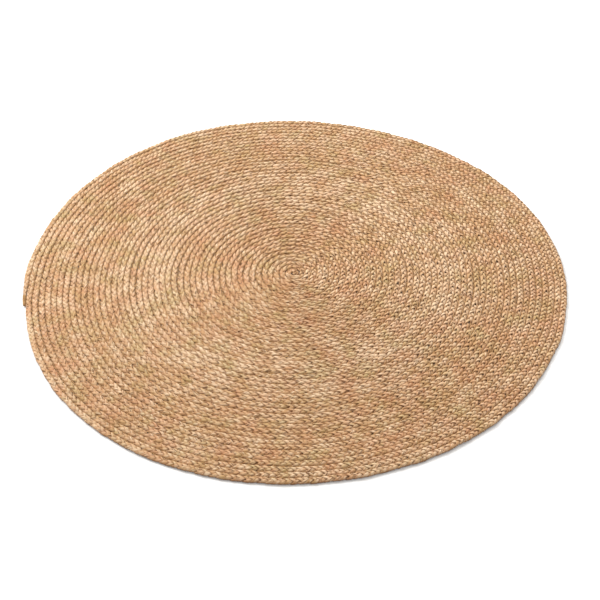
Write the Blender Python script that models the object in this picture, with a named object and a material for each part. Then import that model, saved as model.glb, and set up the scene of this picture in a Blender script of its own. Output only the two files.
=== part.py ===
"""Round braided jute rug.

One flat plait is wound in a spiral from the middle outwards, and each row is laced
with twine to the row inside it. The plait comes in several lengths, joined end to end.

Metres, +Z up. The origin is on the floor under the middle of the rug, and the rug lies
flat with its underside at z = 0.
"""
import math

import bmesh
import bpy

# Driving dimensions, in metres
RUG_DIAMETER = 1.200  # across the rug, through the outermost row where its tail starts to narrow
PLAIT_WIDTH = 0.0119  # one row of plait
PLAIT_THICKNESS = 0.0090
TWINE_WIDTH = 0.0008  # lacing twine, measured across the seam
TWINE_HEIGHT = 0.0040  # how deep the twine's stitches reach in the seam
SEAM_CLEARANCE = 0.0003  # between the twine and the plait on each side of it
BUTT_GAP = 0.0003  # between the ends of two lengths of plait, or of two runs of twine
LEAST_HEART_RADIUS = 0.0015  # the plait's inner edge starts at the first station that clears this
TAIL_TIP_WIDTH = 0.0045  # the tail narrows to this
WHIPPING_LENGTH = 0.030  # of the binding round the tail's tip
LENGTH_COUNT = 12  # lengths of plait, each with its own run of lacing twine
CHORD_COUNT = 1620  # straight chords that the whole spiral is drawn with, near enough
TAIL_BEARING = math.radians(190.0)  # of the tail's tip, from +X towards +Y

# What follows from them
ROW_PITCH = PLAIT_WIDTH + TWINE_WIDTH + 2 * SEAM_CLEARANCE
HALF_PLAIT = PLAIT_WIDTH / 2
ROW_COUNT = RUG_DIAMETER / 2 / ROW_PITCH
STATIONS_PER_TURN = round(CHORD_COUNT / ROW_COUNT)
STATION_STEP = math.tau / STATIONS_PER_TURN
FULL_ROW_WIND = math.pi * (RUG_DIAMETER - PLAIT_WIDTH) / ROW_PITCH + math.pi / 2
END_WIND = FULL_ROW_WIND + STATION_STEP
TIGHTEST_WIND = math.tau * (LEAST_HEART_RADIUS + HALF_PLAIT) / ROW_PITCH
STATION_COUNT = math.floor((END_WIND - TIGHTEST_WIND) / STATION_STEP)
START_WIND = END_WIND - STATION_COUNT * STATION_STEP
TWINE_BOTTOM = (PLAIT_THICKNESS - TWINE_HEIGHT) / 2
TWINE_TOP = (PLAIT_THICKNESS + TWINE_HEIGHT) / 2
SEAM_ACROSS = -ROW_PITCH / 2  # the seam inside a row, from the row's middle line

JUTE_TONES = [  # linear colours of the plait's lots, from the middle of the rug outwards
    (0.42, 0.25, 0.13),
    (0.51, 0.32, 0.17),
    (0.46, 0.28, 0.14),
    (0.56, 0.36, 0.20),
]
TWINE_TONE = (0.38, 0.23, 0.11)
JUTE_ROUGHNESS = 0.9


def clear_scene():
    """Remove every object that the file opened with."""
    for old in list(bpy.data.objects):
        bpy.data.objects.remove(old, do_unlink=True)


def wind_at(station):
    """Angle wound from the spiral's pole to a station; station 0 is the plait's start."""
    return START_WIND + station * STATION_STEP


def corner(station, across):
    """Corner of the spiral at a whole station, shifted outwards from the row's middle line."""
    wind = wind_at(station)
    bearing = TAIL_BEARING + wind - END_WIND
    radius = ROW_PITCH * wind / math.tau + across
    return radius * math.cos(bearing), radius * math.sin(bearing)


def place(station, across):
    """Point at any station, on the straight chord between the two corners beside it."""
    before = math.floor(station)
    share = station - before
    near, far = corner(before, across), corner(before + 1, across)
    return tuple(n + (f - n) * share for n, f in zip(near, far))


def stations_for(distance, station):
    """How many stations a distance along the row takes up at a station."""
    return distance * math.tau / (ROW_PITCH * wind_at(station) * STATION_STEP)


def outer_edge(station):
    """The row's outer edge from its middle line; it narrows over the tail's last chord."""
    past = max(0.0, station - (STATION_COUNT - 1))
    return HALF_PLAIT - past * (PLAIT_WIDTH - TAIL_TIP_WIDTH)


def plait_section(station):
    """Rectangle across a row of plait."""
    inner, outer = place(station, -HALF_PLAIT), place(station, outer_edge(station))
    return [(*inner, 0.0), (*outer, 0.0), (*outer, PLAIT_THICKNESS), (*inner, PLAIT_THICKNESS)]


def twine_section(station):
    """Triangle of lacing twine, standing in the seam inside a row."""
    left = place(station, SEAM_ACROSS - TWINE_WIDTH / 2)
    right = place(station, SEAM_ACROSS + TWINE_WIDTH / 2)
    middle = place(station, SEAM_ACROSS)
    return [(*left, TWINE_BOTTOM), (*right, TWINE_BOTTOM), (*middle, TWINE_TOP)]


def run_stations(first, last):
    """The ends of a run and every whole station between them."""
    inside = range(math.floor(first) + 1, math.ceil(last))
    return [first, *inside, last]


def butted(first, last):
    """Draw both ends of a run back by half the gap that it keeps to its neighbours."""
    half = BUTT_GAP / 2
    return first + stations_for(half, first), last - stations_for(half, last)


def length_bounds():
    """Stations where one length of plait ends and the next starts, so that all are as long."""
    start, end = wind_at(0) ** 2, wind_at(STATION_COUNT) ** 2
    winds = [math.sqrt(start + (end - start) * k / LENGTH_COUNT) for k in range(LENGTH_COUNT + 1)]
    return [round((wind - START_WIND) / STATION_STEP) for wind in winds]


def rug_middle():
    """Middle of the rug's box, measured from the spiral's pole."""
    last_turn = range(STATION_COUNT - STATIONS_PER_TURN - 1, STATION_COUNT + 1)
    edge = [place(station, outer_edge(station)) for station in last_turn]
    return tuple((min(values) + max(values)) / 2 for values in zip(*edge))


def make_material(name, tone):
    """Plain jute finish."""
    material = bpy.data.materials.new(name)
    material.use_nodes = True
    shader = material.node_tree.nodes["Principled BSDF"]
    shader.inputs["Base Color"].default_value = (*tone, 1.0)
    shader.inputs["Roughness"].default_value = JUTE_ROUGHNESS
    shader.inputs["Metallic"].default_value = 0.0
    return material


def add_piece(name, shape, tone):
    """Turn a bmesh into a named object, with the rug's middle put over the origin."""
    bmesh.ops.recalc_face_normals(shape, faces=shape.faces)
    mesh = bpy.data.meshes.new(name)
    shape.to_mesh(mesh)
    shape.free()
    mesh.materials.append(make_material(name, tone))
    piece = bpy.data.objects.new(name, mesh)
    middle_x, middle_y = rug_middle()
    piece.location = (-middle_x, -middle_y, 0.0)
    bpy.context.scene.collection.objects.link(piece)
    return piece


def skin(sections):
    """Closed band through a list of sections that all have the same number of points."""
    shape = bmesh.new()
    rings = [[shape.verts.new(point) for point in section] for section in sections]
    for ring, following in zip(rings, rings[1:]):
        for i in range(len(ring)):
            j = (i + 1) % len(ring)
            shape.faces.new((ring[i], ring[j], following[j], following[i]))
    shape.faces.new(rings[0])
    shape.faces.new(reversed(rings[-1]))
    return shape


def make_plait_length(number, first, last):
    """One length of plait, as a plain band of the plait's width and thickness."""
    sections = [plait_section(station) for station in run_stations(*butted(first, last))]
    tone = JUTE_TONES[number % len(JUTE_TONES)]
    return add_piece(f"plait_length_{number:02d}", skin(sections), tone)


def make_lacing_twine(number, first, last):
    """The run of twine that laces one length of plait to the row inside it."""
    sections = [twine_section(station) for station in run_stations(*butted(first, last))]
    return add_piece(f"lacing_twine_{number:02d}", skin(sections), TWINE_TONE)


def make_start_knot():
    """The plait's knotted start, folded into the space that the first turn closes round."""
    skipped = STATIONS_PER_TURN // 6  # the space is narrower than the knot before this station
    end_gap = stations_for(BUTT_GAP, STATIONS_PER_TURN)
    curve = run_stations(skipped, STATIONS_PER_TURN - end_gap)
    outline = [place(station, -HALF_PLAIT - SEAM_CLEARANCE) for station in curve]
    start_bearing = TAIL_BEARING + START_WIND - END_WIND
    heel = (BUTT_GAP * math.sin(start_bearing), -BUTT_GAP * math.cos(start_bearing))
    shape = bmesh.new()
    base = shape.faces.new([shape.verts.new((x, y, 0.0)) for x, y in [heel, *outline]])
    grown = bmesh.ops.extrude_face_region(shape, geom=[base])["geom"]
    top = [item for item in grown if isinstance(item, bmesh.types.BMVert)]
    bmesh.ops.translate(shape, vec=(0.0, 0.0, PLAIT_THICKNESS), verts=top)
    bmesh.ops.triangulate(shape, faces=shape.faces)
    return add_piece("start_knot", shape, JUTE_TONES[0])


def make_tail_whipping(first):
    """Twine bound round the narrowed tip of the tail, to hold it to the row inside it."""
    start = first + stations_for(BUTT_GAP / 2, first)
    sections = [plait_section(station) for station in (start, STATION_COUNT)]
    return add_piece("tail_whipping", skin(sections), TWINE_TONE)


def main():
    clear_scene()
    make_start_knot()
    bounds = length_bounds()
    whipping_start = STATION_COUNT - stations_for(WHIPPING_LENGTH, STATION_COUNT)
    for number, (first, last) in enumerate(zip(bounds, bounds[1:]), start=1):
        make_plait_length(number, first, min(last, whipping_start))
        make_lacing_twine(number, max(first, STATIONS_PER_TURN), last)
    make_tail_whipping(whipping_start)


main()
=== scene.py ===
"""How a round braided jute rug looks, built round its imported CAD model.

Metres, +Z up. The rug lies flat on the floor at z = 0, with its middle over the origin.
Every length of plait is three strands of jute roving, worked over and under each other
along the spiral that the CAD model's plain bands follow.
"""
import math

import bpy
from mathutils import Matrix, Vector, noise


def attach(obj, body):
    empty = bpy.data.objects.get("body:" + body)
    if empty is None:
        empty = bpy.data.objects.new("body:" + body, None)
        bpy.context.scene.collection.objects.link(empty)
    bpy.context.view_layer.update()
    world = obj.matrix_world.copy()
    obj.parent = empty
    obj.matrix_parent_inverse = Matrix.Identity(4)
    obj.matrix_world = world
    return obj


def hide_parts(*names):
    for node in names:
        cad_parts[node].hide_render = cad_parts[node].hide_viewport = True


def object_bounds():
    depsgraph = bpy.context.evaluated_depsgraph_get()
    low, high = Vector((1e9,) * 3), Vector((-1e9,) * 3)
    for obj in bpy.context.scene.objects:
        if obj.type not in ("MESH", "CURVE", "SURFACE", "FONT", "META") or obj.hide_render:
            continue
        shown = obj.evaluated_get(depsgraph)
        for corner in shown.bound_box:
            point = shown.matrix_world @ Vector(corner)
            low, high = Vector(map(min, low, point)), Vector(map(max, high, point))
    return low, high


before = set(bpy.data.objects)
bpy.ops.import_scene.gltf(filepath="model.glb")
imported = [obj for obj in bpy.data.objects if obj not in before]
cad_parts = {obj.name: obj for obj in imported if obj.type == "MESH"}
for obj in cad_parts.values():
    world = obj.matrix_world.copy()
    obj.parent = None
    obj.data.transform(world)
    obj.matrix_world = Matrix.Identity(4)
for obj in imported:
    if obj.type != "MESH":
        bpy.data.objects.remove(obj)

CAD_LOW, CAD_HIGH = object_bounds()

# ---- the rug's sizes, in metres; the first block repeats the CAD model's values ----
RUG_DIAMETER = CAD_HIGH.x - CAD_LOW.x
PLAIT_THICKNESS = CAD_HIGH.z
PLAIT_WIDTH = 0.0119
ROW_PITCH = 0.0133
TAIL_TIP_WIDTH = 0.0045
WHIPPING_LENGTH = 0.030
LEAST_HEART_RADIUS = 0.0015
CHORD_COUNT = 1620
TAIL_BEARING = math.radians(190.0)

STATIONS_PER_TURN = round(CHORD_COUNT * ROW_PITCH / (RUG_DIAMETER / 2))
STATION_STEP = math.tau / STATIONS_PER_TURN
END_WIND = math.pi * (RUG_DIAMETER - PLAIT_WIDTH) / ROW_PITCH + math.pi / 2 + STATION_STEP
TIGHTEST_WIND = math.tau * (LEAST_HEART_RADIUS + PLAIT_WIDTH / 2) / ROW_PITCH
STATION_COUNT = math.floor((END_WIND - TIGHTEST_WIND) / STATION_STEP)
START_WIND = END_WIND - STATION_COUNT * STATION_STEP
POLE = (ROW_PITCH / 4, -ROW_PITCH / 4)  # the spiral's pole, from the middle of the rug's box
LENGTH_COUNT = sum(name.startswith("plait_length_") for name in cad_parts)

# The strands of the plait
STRAND_WIDTH = 0.0077
STRAND_THICKNESS = 0.0044
STRAND_LEAN = math.radians(8.0)  # the least a strand leans, at the middle of the row
STRAND_REACH = 0.0041  # how far a strand's middle swings to each side of the row
STRAND_RISE = 0.0016  # how far it swings above and below the plait's middle
STRAND_SIDES = 8
ROW_TILT = math.radians(8.0)  # each row is laid with its inner edge riding up on the row before
POINTS_PER_WAVE = 16
KNOT_START_WIND = 0.02  # the knotted start begins this close to the pole
KNOT_START_FULLNESS = 0.85

# Each length of plait: one strand's wave along the row, its paleness, its redness
LOTS = [
    (0.0490, 0.38, 0.62),
    (0.0490, 0.46, 0.55),
    (0.0492, 0.55, 0.45),
    (0.0492, 0.68, 0.42),
    (0.0490, 0.60, 0.50),
    (0.0488, 0.45, 0.48),
    (0.0490, 0.40, 0.56),
    (0.0470, 0.38, 0.58),
    (0.0400, 0.50, 0.50),
    (0.0387, 0.48, 0.58),
    (0.0387, 0.44, 0.62),
    (0.0385, 0.50, 0.56),
]

# How unevenly the strands are worked; noise scales are per metre of plait
DRIFT_SCALE, PULL_SCALE, SHAKE_SCALE = 24.0, 9.0, 45.0
PHASE_DRIFT, PHASE_PULL = 0.42, 0.7  # in waves: each strand by itself, and all three together
REACH_DRIFT, SIZE_DRIFT = 0.5, 0.75  # as shares of a strand's swing and of its size
SHAKE = 0.0040  # how far a whole row strays sideways and upwards
LANE_STEP, LANE_SPREAD, LANE_START = 3.7, 11.0, 5.3  # each strand has its own stretch of noise
CROSSING_FLATNESS = 0.3  # a higher value keeps a strand flat for longer as it crosses

# Loose ends of fibre
FIBRE_DENSITY = 2500.0  # for each square metre of strand
FIBRE_FACING = 0.92  # they stand only where the strand's face points up at least this much
FIBRE_RADIUS = 0.00013
FIBRE_START, FIBRE_BEND, FIBRE_TIP = (0, 0, -0.0004), (0.003, 0.0005, 0.0010), (0.007, 0.0025, 0.0002)
LEAST_FIBRE, MOST_FIBRE = 0.5, 1.5  # as shares of that curve's size

# The lacing twine
STITCH_PITCH = 0.0160
STITCH_REACH = 0.0006
STITCH_RISE = 0.0012
TWINE_RADIUS = 0.0012
POINTS_PER_STITCH = 6
TWINE_SIDES = 4
TWINE_LAY = 0.012  # length of one full turn of its two plies
STRAND_LAY = 0.090  # and of one full turn of the fibre in a strand

# The whipping
WHIPPING_WRAPS = 20
POINTS_PER_WRAP = 12
WHIPPING_TWINE_RADIUS = 0.00082
WHIPPING_REACH, WHIPPING_RISE = 0.56, 0.60  # as shares of the plait's width and thickness there

# How far the rug strays from a true spiral: hand work isn't even
OUTLINE_WAVES = [(3, 0.0050, 0.0), (4, 0.0020, 33.0)]  # count, height, bearing of a crest
WANDER_HEIGHT, WANDER_SPAN = 0.0016, 0.080
PACKING_HEIGHT, PACKING_SPAN = 0.0020, 0.034  # rows laid a little closer here, wider there
HEAVE_HEIGHT, HEAVE_SPAN = 0.0004, 0.060


# Tones of the jute; the last three browns are painted shade, and the pale straw is partly a painted
# highlight
JUTE_TAN, JUTE_PALE = "#C69E72", "#E7CBA8"
JUTE_PINK, JUTE_KHAKI = "#C88C66", "#B09E62"
# The pale straw is the fibre's own colour and also a painted highlight
STREAK_BROWN, BARK_BROWN, STRAW_AND_HIGHLIGHT = "#A17245", "#573619", "#FBE7C8"
# Painted shade: browns laid into the colour low down, deep between rows, and at the strands' rims and
# folds
PAINTED_SHADE_BROWN, PAINTED_DEEP_SHADE_BROWN, PAINTED_EDGE_SHADE_BROWN = "#8A5E34", "#5A3310", "#7A4715"
TWINE_DARK, TWINE_LIGHT = "#8F6638", "#C49A66"

# The room: each lamp's name, place, size and watts, then the floor and the camera
LAMPS = [("key", (-3.2, 2.2, 3.1), 2.6, 250.0), ("fill", (0.6, 2.6, 3.0), 2.5, 68.0)]
ROOM_LIGHT = 0.78
FLOOR_HALF = 8.0
FLOOR_WHITE = "#F4F3F1"
SENSOR_WIDTH, LENS = 36.0, 71.3  # in millimetres
CAMERA_TILT, CAMERA_ROLL = math.radians(42.45), math.radians(0.2)
CAMERA_DISTANCE = 2.583
CAMERA_TARGET = Vector((0.0235, -0.0860, 0.0))

# Kinds of node that the trees use most
MATHS = "ShaderNodeMath"
VECTOR_MATHS = "ShaderNodeVectorMath"
MAP_RANGE = "ShaderNodeMapRange"
MIX = "ShaderNodeMix"


# ---- helpers ----
def linear(text, alpha=1.0):
    """An sRGB hex colour as linear values."""
    values = [int(text[i:i + 2], 16) / 255 for i in (1, 3, 5)]
    return (*(v / 12.92 if v <= 0.04045 else ((v + 0.055) / 1.055) ** 2.4 for v in values), alpha)


def add(tree, kind, inputs=(), out=0, **settings):
    """Add a node with its settings and links, and return one of its outputs.

    An input is a value, or the output that feeds it. Inputs come in order, or by name or number.
    """
    node = tree.nodes.new(kind)
    for name, value in settings.items():
        setattr(node, name, value)
    for name, value in inputs.items() if isinstance(inputs, dict) else enumerate(inputs):
        if isinstance(value, bpy.types.NodeSocket):
            tree.links.new(value, node.inputs[name])
        else:
            node.inputs[name].default_value = value
    return node.outputs[out]


def new_tree(name, numbers):
    """A geometry tree with a geometry, a material and the named numbers as its inputs."""
    tree = bpy.data.node_groups.new(name, "GeometryNodeTree")
    face = tree.interface
    face.new_socket("Geometry", in_out="OUTPUT", socket_type="NodeSocketGeometry")
    face.new_socket("Geometry", in_out="INPUT", socket_type="NodeSocketGeometry")
    face.new_socket("Material", in_out="INPUT", socket_type="NodeSocketMaterial")
    for number in numbers:
        face.new_socket(number, in_out="INPUT", socket_type="NodeSocketFloat")
    return tree, tree.nodes.new("NodeGroupInput").outputs


def end_tree(tree, geometry, material):
    """Every tree ends in real mesh with its material on."""
    real = add(tree, "GeometryNodeRealizeInstances", {"Geometry": geometry})
    faced = add(tree, "GeometryNodeSetMaterial", {"Geometry": real, "Material": material})
    tree.links.new(faced, tree.nodes.new("NodeGroupOutput").inputs[0])


def line_object(points, fullness):
    """A chain of edges with a fullness at each point, for a tree to work along."""
    mesh = bpy.data.meshes.new("line")
    mesh.from_pydata(points, [(i, i + 1) for i in range(len(points) - 1)], [])
    values = mesh.attributes.new("fullness", "FLOAT", "POINT")
    values.data.foreach_set("value", fullness)
    line = bpy.data.objects.new("line", mesh)
    bpy.context.scene.collection.objects.link(line)
    return line


def work(tree, name, line, material, numbers):
    """Run a tree along a line and keep what it makes as a plain mesh piece."""
    modifier = line.modifiers.new("work", "NODES")
    modifier.node_group = tree
    given = {"Material": material, **numbers}
    for socket in tree.interface.items_tree:
        if socket.in_out == "INPUT" and socket.name in given:
            modifier[socket.identifier] = given[socket.name]
    deps = bpy.context.evaluated_depsgraph_get()
    made = line.evaluated_get(deps)
    mesh = bpy.data.meshes.new_from_object(made, preserve_all_data_layers=True, depsgraph=deps)
    mesh.name = name
    piece = bpy.data.objects.new(name, mesh)
    bpy.context.scene.collection.objects.link(piece)
    bpy.data.objects.remove(line, do_unlink=True)
    return piece


def finish_piece(piece, slot, *nodes):
    """Ride on the rug's one body and stand for CAD nodes. The slot, the finish's name, is not used."""
    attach(piece, "root")
    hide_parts(*nodes)


# ---- the spiral ----
def row_radius(wind):
    return ROW_PITCH * wind / math.tau


def outline_wave(bearing):
    """How far the outermost row strays outwards at a bearing."""
    return sum(
        height * math.cos(count * (bearing - math.radians(crest)))
        for count, height, crest in OUTLINE_WAVES
    )


def row_point(wind, across=0.0):
    """A point on a row, at half the plait's thickness, with the stray of hand work."""
    bearing = TAIL_BEARING + wind - END_WIND
    radius = row_radius(wind) + across
    flat = Vector((math.cos(bearing), math.sin(bearing), 0.0))
    spot = flat * radius
    slow = Vector((radius / PACKING_SPAN, 1.6 * math.cos(bearing), 1.6 * math.sin(bearing)))
    inside = min(1.0, (RUG_DIAMETER / 2 - radius) / PACKING_SPAN, radius / PACKING_SPAN)
    radius += PACKING_HEIGHT * noise.noise(slow) * max(0.0, inside)
    radius += outline_wave(bearing) * (2 * radius / RUG_DIAMETER) ** 2
    radius += WANDER_HEIGHT * noise.noise(spot / WANDER_SPAN) * min(1.0, radius / WANDER_SPAN)
    height = PLAIT_THICKNESS / 2 + HEAVE_HEIGHT * noise.noise(spot / HEAVE_SPAN + Vector((7, 3, 5)))
    return Vector((POLE[0], POLE[1], height)) + flat * radius


def fullness_at(wind):
    """1 along the rug; less where the plait tapers at its start and its tail."""
    past_tail = max(0.0, (wind - END_WIND) / STATION_STEP + 1.0)
    before_start = max(0.0, 1.0 - wind / START_WIND)
    return (1.0 - past_tail * (1.0 - TAIL_TIP_WIDTH / PLAIT_WIDTH)) * (
        1.0 - before_start * (1.0 - KNOT_START_FULLNESS)
    )


def row_line(first_wind, last_wind, spacing, across=0.0):
    """Evenly spaced points along a row, and the plait's fullness at each."""
    area = (last_wind ** 2 - first_wind ** 2) / 2
    count = max(2, round(ROW_PITCH / math.tau * area / spacing))
    winds = [math.sqrt(first_wind ** 2 + 2 * area * i / count) for i in range(count + 1)]
    fullness = [fullness_at(wind) for wind in winds]
    shifts = [across - (1.0 - full) * PLAIT_WIDTH / 2 * (wind > START_WIND)
              for wind, full in zip(winds, fullness)]
    return [row_point(wind, shift) for wind, shift in zip(winds, shifts)], fullness


def length_winds():
    """Winds at which one length of plait ends and the next starts."""
    start, end = START_WIND ** 2, END_WIND ** 2
    ideal = [math.sqrt(start + (end - start) * k / LENGTH_COUNT) for k in range(LENGTH_COUNT + 1)]
    return [START_WIND + round((w - START_WIND) / STATION_STEP) * STATION_STEP for w in ideal]


# ---- geometry trees ----
def plait_tree():
    """Three strands plaited along a line: each swings across once while it rises twice."""
    numbers = ["Wave", "Start Phase", "Reach", "Rise", "Width", "Thickness", "Lot", "Warmth",
               "Fibre Density"]
    tree, given = new_tree("three-strand plait", numbers)
    line = add(tree, "GeometryNodeMeshToCurve", {"Mesh": given["Geometry"]})
    path = add(tree, "GeometryNodeDuplicateElements", {"Geometry": line, "Amount": 3}, domain="SPLINE")
    strand = path.node.outputs["Duplicate Index"]
    along = add(tree, "GeometryNodeSplineParameter", out="Length")
    full = add(tree, "GeometryNodeInputNamedAttribute", {"Name": "fullness"}, data_type="FLOAT")

    # Uneven hand work: each strand has its own slow drift in phase, swing and thickness
    lane = add(tree, MATHS, (strand, LANE_STEP, given["Lot"]), operation="MULTIPLY_ADD")
    spread = add(tree, MATHS, (lane, LANE_SPREAD), operation="MULTIPLY")
    spot = add(tree, "ShaderNodeCombineXYZ", (along, spread))
    drift = add(tree, "ShaderNodeTexNoise", {"Vector": spot, "Scale": DRIFT_SCALE, "Detail": 2.5},
                out="Color")
    drifts = add(tree, "ShaderNodeSeparateXYZ", (drift,)).node.outputs
    phase_sway, reach_sway, size_sway = [
        add(tree, MATHS, (value, 0.5), operation="SUBTRACT") for value in drifts]

    # How far round its wave the strand is
    turn = add(tree, MATHS, (along, given["Wave"]), operation="DIVIDE")
    third = add(tree, MATHS, (strand, 3.0), operation="DIVIDE")
    turn = add(tree, MATHS, (turn, third), operation="ADD")
    turn = add(tree, MATHS, (phase_sway, PHASE_DRIFT, turn), operation="MULTIPLY_ADD")
    place = add(tree, "ShaderNodeCombineXYZ", (along, given["Lot"]))
    pull = add(tree, "ShaderNodeTexNoise", {"Vector": place, "Scale": PULL_SCALE, "Detail": 2.0},
               out="Fac")
    turn = add(tree, MATHS, (pull, PHASE_PULL, turn), operation="MULTIPLY_ADD")
    phase = add(tree, MATHS, (turn, math.tau, given["Start Phase"]), operation="MULTIPLY_ADD")

    # Its swing across the row, and its rise over and under the others
    sine = add(tree, MATHS, (phase,), operation="SINE")
    across = add(tree, MATHS, (sine, given["Reach"]), operation="MULTIPLY")
    uneven = add(tree, MATHS, (reach_sway, REACH_DRIFT, 1.0), operation="MULTIPLY_ADD")
    across = add(tree, MATHS, (across, uneven), operation="MULTIPLY")
    twice = add(tree, MATHS, (phase, -2.0), operation="MULTIPLY")
    rise = add(tree, MATHS, (twice,), operation="SINE")
    rise = add(tree, MATHS, (rise, given["Rise"]), operation="MULTIPLY")
    shake = add(tree, "ShaderNodeTexNoise", {"Vector": place, "Scale": SHAKE_SCALE, "Detail": 1.0},
                out="Color")
    shakes = add(tree, "ShaderNodeSeparateXYZ", (shake,)).node.outputs
    aside, upward = [add(tree, MATHS, (value, 0.5), operation="SUBTRACT") for value in shakes[:2]]
    across = add(tree, MATHS, (aside, SHAKE, across), operation="MULTIPLY_ADD")
    rise = add(tree, MATHS, (upward, SHAKE, rise), operation="MULTIPLY_ADD")

    tangent = add(tree, "GeometryNodeInputTangent")
    outward = add(tree, VECTOR_MATHS, (tangent, (0, 0, 1)), operation="CROSS_PRODUCT")
    outward = add(tree, VECTOR_MATHS, (outward,), operation="NORMALIZE")
    reach = add(tree, MATHS, (across, full), operation="MULTIPLY")
    side = add(tree, VECTOR_MATHS, {0: outward, "Scale": reach}, operation="SCALE")
    rise = add(tree, MATHS, (across, -math.tan(ROW_TILT), rise), operation="MULTIPLY_ADD")
    lift = add(tree, MATHS, (rise, full), operation="MULTIPLY")
    up = add(tree, "ShaderNodeCombineXYZ", {2: lift})
    swing = add(tree, VECTOR_MATHS, (side, up), operation="ADD")

    # The flat strand leans outwards like a shingle as it crosses, and folds on edge at each side
    level = add(tree, MATHS, (phase,), operation="COSINE")
    squared = add(tree, MATHS, (level, level), operation="MULTIPLY")
    steeper = add(tree, MATHS, (squared, -CROSSING_FLATNESS, 1.0 + CROSSING_FLATNESS),
                  operation="MULTIPLY_ADD")
    level = add(tree, MATHS, (level, steeper), operation="MULTIPLY")
    fold = add(tree, MATHS, (level, math.pi / 2 - STRAND_LEAN, ROW_TILT - math.pi / 2),
               operation="MULTIPLY_ADD")

    # What the finish reads: the way along the strand, and the lot's tones
    thicker = add(tree, MATHS, (size_sway, SIZE_DRIFT, 1.0), operation="MULTIPLY_ADD")
    size = add(tree, MATHS, (full, thicker), operation="MULTIPLY")
    far = add(tree, MATHS, (lane, LANE_START, along), operation="MULTIPLY_ADD")
    kept = {"along": far, "size": size, "fold": fold, "lot": given["Lot"], "warmth": given["Warmth"]}
    for name, value in kept.items():
        path = add(tree, "GeometryNodeStoreNamedAttribute",
                   {"Geometry": path, "Name": name, "Value": value}, data_type="FLOAT", domain="POINT")
    path = add(tree, "GeometryNodeSetPosition", {"Geometry": path, "Offset": swing})
    path = add(tree, "GeometryNodeSetCurveNormal", {"Curve": path}, mode="Z_UP")
    folds = add(tree, "GeometryNodeInputNamedAttribute", {"Name": "fold"}, data_type="FLOAT")
    path = add(tree, "GeometryNodeSetCurveTilt", {"Curve": path, "Tilt": folds})

    ring = add(tree, "GeometryNodeCurvePrimitiveCircle", {"Resolution": STRAND_SIDES, "Radius": 0.5})
    flat = add(tree, "ShaderNodeCombineXYZ", (given["Width"], given["Thickness"], 1.0))
    ring = add(tree, "GeometryNodeTransform", {"Geometry": ring, "Scale": flat})
    spot = add(tree, "GeometryNodeInputPosition")
    ring = add(tree, "GeometryNodeStoreNamedAttribute",
               {"Geometry": ring, "Name": "section", "Value": spot},
               data_type="FLOAT_VECTOR", domain="POINT")
    sizes = add(tree, "GeometryNodeInputNamedAttribute", {"Name": "size"}, data_type="FLOAT")
    skin = add(tree, "GeometryNodeCurveToMesh",
               {"Curve": path, "Profile Curve": ring, "Scale": sizes, "Fill Caps": True})
    skin = add(tree, "GeometryNodeSetShadeSmooth", {"Geometry": skin})

    # The floor presses the underside flat: nothing goes below z = 0
    spot = add(tree, "GeometryNodeInputPosition")
    held = add(tree, VECTOR_MATHS, (spot, (-9.0, -9.0, 0.0)), operation="MAXIMUM")
    skin = add(tree, "GeometryNodeSetPosition", {"Geometry": skin, "Position": held})

    # Loose ends of fibre that stand out of the roving
    normal = add(tree, "GeometryNodeInputNormal")
    facing = add(tree, "ShaderNodeSeparateXYZ", (normal,), out=2)
    upright = add(tree, MATHS, (facing, FIBRE_FACING), operation="GREATER_THAN")
    points = add(tree, "GeometryNodeDistributePointsOnFaces",
                 {"Mesh": skin, "Density": given["Fibre Density"], "Seed": 5, "Selection": upright},
                 out="Points")
    bend = add(tree, "GeometryNodeCurveQuadraticBezier",
               {"Resolution": 4, "Start": FIBRE_START, "Middle": FIBRE_BEND, "End": FIBRE_TIP})
    thin = add(tree, "GeometryNodeCurvePrimitiveCircle", {"Resolution": 3, "Radius": FIBRE_RADIUS})
    hair = add(tree, "GeometryNodeCurveToMesh",
               {"Curve": bend, "Fill Caps": True, "Profile Curve": thin})
    spin = add(tree, "FunctionNodeRandomValue", {"Min": (0, 0, 0), "Max": (0, 0, math.tau), "Seed": 3},
               data_type="FLOAT_VECTOR")
    spin = add(tree, "FunctionNodeEulerToRotation", (spin,))
    grow = add(tree, "FunctionNodeRandomValue", {2: LEAST_FIBRE, 3: MOST_FIBRE, "Seed": 9}, out=1,
               data_type="FLOAT")
    hairs = add(tree, "GeometryNodeInstanceOnPoints",
                {"Points": points, "Instance": hair, "Rotation": spin, "Scale": grow})
    both = add(tree, "GeometryNodeJoinGeometry")
    for part in (hairs, skin):
        tree.links.new(part, both.node.inputs[0])
    end_tree(tree, both, given["Material"])
    return tree


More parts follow.
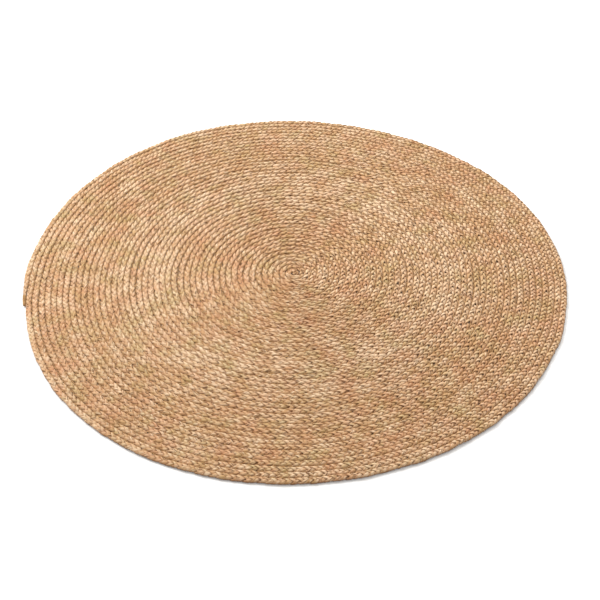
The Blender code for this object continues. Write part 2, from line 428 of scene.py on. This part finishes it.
def lacing_tree():
    """Twine whipped round a seam, in and out of the rows on each side."""
    tree, given = new_tree("lacing", ["Stitch", "Reach", "Rise", "Radius"])
    line = add(tree, "GeometryNodeMeshToCurve", {"Mesh": given["Geometry"]})
    along = add(tree, "GeometryNodeSplineParameter", out="Length")
    stitches = add(tree, MATHS, (along, given["Stitch"]), operation="DIVIDE")
    phase = add(tree, MATHS, (stitches, math.tau), operation="MULTIPLY")
    tangent = add(tree, "GeometryNodeInputTangent")
    outward = add(tree, VECTOR_MATHS, (tangent, (0, 0, 1)), operation="CROSS_PRODUCT")
    cosine = add(tree, MATHS, (phase,), operation="COSINE")
    reach = add(tree, MATHS, (cosine, given["Reach"]), operation="MULTIPLY")
    side = add(tree, VECTOR_MATHS, {0: outward, "Scale": reach}, operation="SCALE")
    sine = add(tree, MATHS, (phase,), operation="SINE")
    lift = add(tree, MATHS, (sine, given["Rise"]), operation="MULTIPLY")
    up = add(tree, "ShaderNodeCombineXYZ", {2: lift})
    swing = add(tree, VECTOR_MATHS, (side, up), operation="ADD")
    path = add(tree, "GeometryNodeSetPosition", {"Geometry": line, "Offset": swing})
    path = add(tree, "GeometryNodeStoreNamedAttribute",
               {"Geometry": path, "Name": "along", "Value": along}, data_type="FLOAT", domain="POINT")
    ring = add(tree, "GeometryNodeCurvePrimitiveCircle",
               {"Resolution": TWINE_SIDES, "Radius": given["Radius"]})
    spot = add(tree, "GeometryNodeInputPosition")
    ring = add(tree, "GeometryNodeStoreNamedAttribute",
               {"Geometry": ring, "Name": "section", "Value": spot},
               data_type="FLOAT_VECTOR", domain="POINT")
    skin = add(tree, "GeometryNodeCurveToMesh",
               {"Curve": path, "Profile Curve": ring, "Fill Caps": True})
    skin = add(tree, "GeometryNodeSetShadeSmooth", {"Geometry": skin})
    end_tree(tree, skin, given["Material"])
    return tree


# ---- finishes ----
def jute_roving():
    """Undyed jute roving, loosely spun and plaited by hand: dull, streaked, with flecks of bark, painted
    shade low down and at rims and folds, and pale straws that are partly painted highlight.
    """
    material = bpy.data.materials.new("undyed jute roving, plaited")
    material.use_nodes = True
    tree = material.node_tree
    shader = tree.nodes["Principled BSDF"]
    along = add(tree, "ShaderNodeAttribute", out="Fac", attribute_name="along")
    section = add(tree, "ShaderNodeAttribute", out="Vector", attribute_name="section")
    lot = add(tree, "ShaderNodeAttribute", out="Fac", attribute_name="lot")
    warmth = add(tree, "ShaderNodeAttribute", out="Fac", attribute_name="warmth")
    fold = add(tree, "ShaderNodeAttribute", out="Fac", attribute_name="fold")
    twist = add(tree, MATHS, (along, math.tau / STRAND_LAY), operation="MULTIPLY")
    turned = add(tree, "ShaderNodeVectorRotate", {"Vector": section, "Angle": twist},
                 rotation_type="Z_AXIS")
    across = add(tree, "ShaderNodeSeparateXYZ", (turned,)).node.outputs

    def pattern(length, width, detail=2.0, shift=0.0):
        """Noise drawn out along the strand: length and width of a patch in metres."""
        spot = add(tree, "ShaderNodeCombineXYZ", (
            add(tree, MATHS, (along, 1 / length, shift), operation="MULTIPLY_ADD"),
            add(tree, MATHS, (across[0], 1 / width), operation="MULTIPLY"),
            add(tree, MATHS, (across[1], 1 / width), operation="MULTIPLY")))
        return add(tree, "ShaderNodeTexNoise", {"Vector": spot, "Scale": 1.0, "Detail": detail}, out="Fac")

    place = add(tree, "ShaderNodeTexCoord", out="Object")
    height = add(tree, "ShaderNodeSeparateXYZ", (place,), out=2)
    patches = add(tree, "ShaderNodeTexNoise", {"Vector": place, "Scale": 24.0, "Detail": 3.0},
                  out="Color")
    patches = add(tree, "ShaderNodeSeparateXYZ", (patches,)).node.outputs

    # How pale it is: by the bundle of fibre, the lot, the patch of rug and the stretch of strand
    pale = add(tree, MAP_RANGE, (pattern(0.030, 0.0050), 0.30, 0.70))
    for more in (
        add(tree, MATHS, (lot, 1.6, -0.82), operation="MULTIPLY_ADD"),
        add(tree, MAP_RANGE, (patches[0], 0.32, 0.68, -0.40, 0.40)),
        add(tree, MAP_RANGE, (pattern(0.240, 0.060, 1.0, shift=5.0), 0.35, 0.65, -0.3, 0.3)),
    ):
        pale = add(tree, MATHS, (pale, more), operation="ADD")
    colour = add(tree, MIX, {0: pale, 6: linear(JUTE_TAN), 7: linear(JUTE_PALE)}, out=2, data_type="RGBA")

    # Reddish and greenish tinges, each by the stretch of strand and by the patch of rug
    pink = add(tree, MATHS, (
        add(tree, MAP_RANGE, (pattern(0.050, 0.020, shift=31.0), 0.50, 0.68, 0.0, 0.5)),
        add(tree, MAP_RANGE, (patches[1], 0.46, 0.66, 0.0, 0.8))), operation="ADD")
    pink = add(tree, MATHS, (pink, warmth), operation="MULTIPLY")
    khaki = add(tree, MATHS, (
        add(tree, MAP_RANGE, (pattern(0.060, 0.020, shift=57.0), 0.56, 0.70, 0.0, 0.3)),
        add(tree, MAP_RANGE, (patches[2], 0.50, 0.70, 0.0, 0.5))), operation="ADD")

    # Fine brown streaks along the fibre, pale straws that partly stand in as painted highlights, and dark
    # flecks of bark
    streaks = pattern(0.020, 0.0005, 4.0)
    streaked = add(tree, MAP_RANGE, (streaks, 0.30, 0.60, 0.6, 0.0))
    # Pale straws: the fibre's own paler streaks, used also as painted highlights
    straw_and_highlight = add(tree, MAP_RANGE, (pattern(0.014, 0.0022, 1.0, shift=11.0), 0.62, 0.70, 0.0, 0.4))
    bark = add(tree, MAP_RANGE, (pattern(0.020, 0.0028, 1.0, shift=83.0), 0.62, 0.68, 0.0, 0.85))

    # Painted shade: browner low down, at the strand's rim, and where it folds on edge
    # Painted shade: browner the lower the surface lies, as in the crevices between rows and arms
    painted_low_shade = add(tree, MAP_RANGE, (height, 0.0033, 0.0082, 0.52, 0.0))
    # Painted shade: deep brown low in the plait, in the holes and seams between rows where shadow falls
    seam = add(tree, MAP_RANGE, (height, 0.0024, 0.0062, 0.85, 0.0))
    # Painted shade at the strand's rim, where it passes under its neighbour
    painted_rim_shade = add(tree, "ShaderNodeSeparateXYZ", (section,))
    painted_rim_shade = add(tree, MATHS, (painted_rim_shade,), operation="ABSOLUTE")
    painted_rim_shade = add(tree, MAP_RANGE, (painted_rim_shade, STRAND_WIDTH * 0.36, STRAND_WIDTH * 0.50, 0.0, 0.40))
    # Painted shade where the strand turns on edge at each side
    painted_fold_shade = add(tree, MATHS, (fold,), operation="SINE")
    painted_fold_shade = add(tree, MATHS, (painted_fold_shade,), operation="ABSOLUTE")
    painted_fold_shade = add(tree, MAP_RANGE, (painted_fold_shade, 0.75, 1.0, 0.0, 0.30))

    # The straw layer is partly painted highlight; the last four layers are painted shade
    layers = [(pink, JUTE_PINK), (khaki, JUTE_KHAKI), (streaked, STREAK_BROWN), (straw_and_highlight, STRAW_AND_HIGHLIGHT),
              (bark, BARK_BROWN), (painted_low_shade, PAINTED_SHADE_BROWN), (seam, PAINTED_DEEP_SHADE_BROWN), (painted_rim_shade, PAINTED_EDGE_SHADE_BROWN),
              (painted_fold_shade, PAINTED_EDGE_SHADE_BROWN)]
    for share, tone in layers:
        colour = add(tree, MIX, {0: share, 6: colour, 7: linear(tone)}, out=2, data_type="RGBA")
    tree.links.new(colour, shader.inputs["Base Color"])
    rough = add(tree, MAP_RANGE, (streaks, 0.3, 0.7, 0.95, 0.78))
    tree.links.new(rough, shader.inputs["Roughness"])
    bump = add(tree, "ShaderNodeBump", {"Height": streaks, "Distance": 0.0005, "Strength": 0.6})
    tree.links.new(bump, shader.inputs["Normal"])
    shader.inputs["Specular IOR Level"].default_value = 0.35
    shader.inputs["Sheen Weight"].default_value = 0.08
    shader.inputs["Sheen Roughness"].default_value = 0.5
    return material


def jute_twine():
    """Two-ply jute twine, tightly spun: darker and duller than the roving, with a fine slant."""
    material = bpy.data.materials.new("two-ply jute twine")
    material.use_nodes = True
    tree = material.node_tree
    shader = tree.nodes["Principled BSDF"]
    along = add(tree, "ShaderNodeAttribute", out="Fac", attribute_name="along")
    section = add(tree, "ShaderNodeAttribute", out="Vector", attribute_name="section")
    twist = add(tree, MATHS, (along, math.tau / TWINE_LAY), operation="MULTIPLY")
    turned = add(tree, "ShaderNodeVectorRotate", {"Vector": section, "Angle": twist},
                 rotation_type="Z_AXIS")
    turned = add(tree, VECTOR_MATHS, (turned,), operation="NORMALIZE")
    ply = add(tree, "ShaderNodeSeparateXYZ", (turned,))
    ply = add(tree, MATHS, (ply,), operation="ABSOLUTE")
    place = add(tree, "ShaderNodeTexCoord", out="Object")
    patch = add(tree, "ShaderNodeTexNoise", {"Vector": place, "Scale": 180.0, "Detail": 2.0}, out="Fac")
    tone = add(tree, "ShaderNodeValToRGB", (patch,))
    tone.node.color_ramp.elements[0].color = linear(TWINE_DARK)
    tone.node.color_ramp.elements[1].color = linear(TWINE_LIGHT)
    tree.links.new(tone, shader.inputs["Base Color"])
    shader.inputs["Roughness"].default_value = 0.85
    bump = add(tree, "ShaderNodeBump", {"Height": ply, "Distance": 0.0002, "Strength": 0.5})
    tree.links.new(bump, shader.inputs["Normal"])
    return material


# ---- the pieces ----
def make_plait(tree, material, name, node, first, last, wave, lot, warmth, phase):
    """One length of plait. Returns the phase that the next length takes up."""
    points, fullness = row_line(first, last, wave / POINTS_PER_WAVE)
    piece = work(tree, name, line_object(points, fullness), material, {
        "Wave": wave, "Start Phase": phase, "Reach": STRAND_REACH, "Rise": STRAND_RISE,
        "Width": STRAND_WIDTH, "Thickness": STRAND_THICKNESS, "Lot": lot, "Warmth": warmth,
        "Fibre Density": FIBRE_DENSITY})
    finish_piece(piece, "jute_plait", node)
    run = sum((b - a).length for a, b in zip(points, points[1:]))
    return phase + math.tau * run / wave


def make_plaits(material):
    tree = plait_tree()
    winds = length_winds()
    wave, lot, warmth = LOTS[0]
    phase = make_plait(tree, material, "knotted_start", "start_knot", KNOT_START_WIND, START_WIND,
                       wave * 0.7, lot - 0.25, warmth, 0.0)
    for k, (first, last) in enumerate(zip(winds, winds[1:])):
        wave, lot, warmth = LOTS[k]
        phase = make_plait(tree, material, f"plait_{k + 1:02d}", f"plait_length_{k + 1:02d}",
                           first, last, wave, lot, warmth, phase)


def make_lacing(material):
    tree = lacing_tree()
    winds = length_winds()
    for k, (first, last) in enumerate(zip(winds, winds[1:])):
        first = max(first, START_WIND + math.tau)
        points, fullness = row_line(first, last, STITCH_PITCH / POINTS_PER_STITCH, -ROW_PITCH / 2)
        name = f"lacing_{k + 1:02d}"
        piece = work(tree, name, line_object(points, fullness), material, {
            "Stitch": STITCH_PITCH, "Reach": STITCH_REACH, "Rise": STITCH_RISE, "Radius": TWINE_RADIUS})
        finish_piece(piece, "jute_twine", f"lacing_twine_{k + 1:02d}")


def make_whipping(material):
    """Twine wound close round the tail's tip."""
    count = WHIPPING_WRAPS * POINTS_PER_WRAP
    span = WHIPPING_LENGTH / row_radius(END_WIND)
    points = []
    for i in range(count + 1):
        share = i / count
        wind = END_WIND - span * (1 - share)
        full = fullness_at(wind)
        turn = math.tau * i / POINTS_PER_WRAP
        shift = -(1 - full) * PLAIT_WIDTH / 2 + WHIPPING_REACH * full * PLAIT_WIDTH * math.cos(turn)
        spot = row_point(wind, shift)
        spot.z = PLAIT_THICKNESS / 2 + WHIPPING_RISE * full * PLAIT_THICKNESS * math.sin(turn)
        points.append(spot)
    tree = lacing_tree()
    piece = work(tree, "whipping", line_object(points, [1.0] * len(points)), material, {
        "Stitch": 1.0, "Reach": 0.0, "Rise": 0.0, "Radius": WHIPPING_TWINE_RADIUS})
    finish_piece(piece, "jute_twine", "tail_whipping")


def make_stage():
    """A pale floor, soft studio light and the camera."""
    floor_mesh = bpy.data.meshes.new("floor")
    corners = [(x * FLOOR_HALF, y * FLOOR_HALF, 0) for x, y in ((-1, -1), (1, -1), (1, 1), (-1, 1))]
    floor_mesh.from_pydata(corners, [], [(0, 1, 2, 3)])
    floor = bpy.data.objects.new("floor", floor_mesh)
    paint = bpy.data.materials.new("matt white floor paint")
    paint.use_nodes = True
    shader = paint.node_tree.nodes["Principled BSDF"]
    shader.inputs["Base Color"].default_value = linear(FLOOR_WHITE)
    shader.inputs["Roughness"].default_value = 0.9
    floor_mesh.materials.append(paint)
    bpy.context.scene.collection.objects.link(floor)

    world = bpy.data.worlds.new("soft white room")
    world.use_nodes = True
    world.node_tree.nodes["Background"].inputs["Color"].default_value = (1.0, 1.0, 1.0, 1.0)
    world.node_tree.nodes["Background"].inputs["Strength"].default_value = ROOM_LIGHT
    bpy.context.scene.world = world
    for name, place, size, power in LAMPS:
        lamp = bpy.data.lights.new(name, "AREA")
        lamp.size = size
        lamp.energy = power
        light = bpy.data.objects.new(name, lamp)
        light.location = place
        light.rotation_euler = (-Vector(place)).to_track_quat("-Z", "Y").to_euler()
        bpy.context.scene.collection.objects.link(light)

    lens = bpy.data.cameras.new("camera")
    lens.sensor_width = SENSOR_WIDTH
    lens.lens = LENS
    camera = bpy.data.objects.new("camera", lens)
    back = Vector((0.0, -math.cos(CAMERA_TILT), math.sin(CAMERA_TILT)))
    camera.location = CAMERA_TARGET + CAMERA_DISTANCE * back
    camera.rotation_euler = (math.pi / 2 - CAMERA_TILT, CAMERA_ROLL, 0.0)
    bpy.context.scene.collection.objects.link(camera)
    bpy.context.scene.camera = camera
    bpy.context.scene.view_settings.view_transform = "Standard"


roving = jute_roving()
twine = jute_twine()
make_plaits(roving)
make_lacing(twine)
make_whipping(twine)
make_stage()
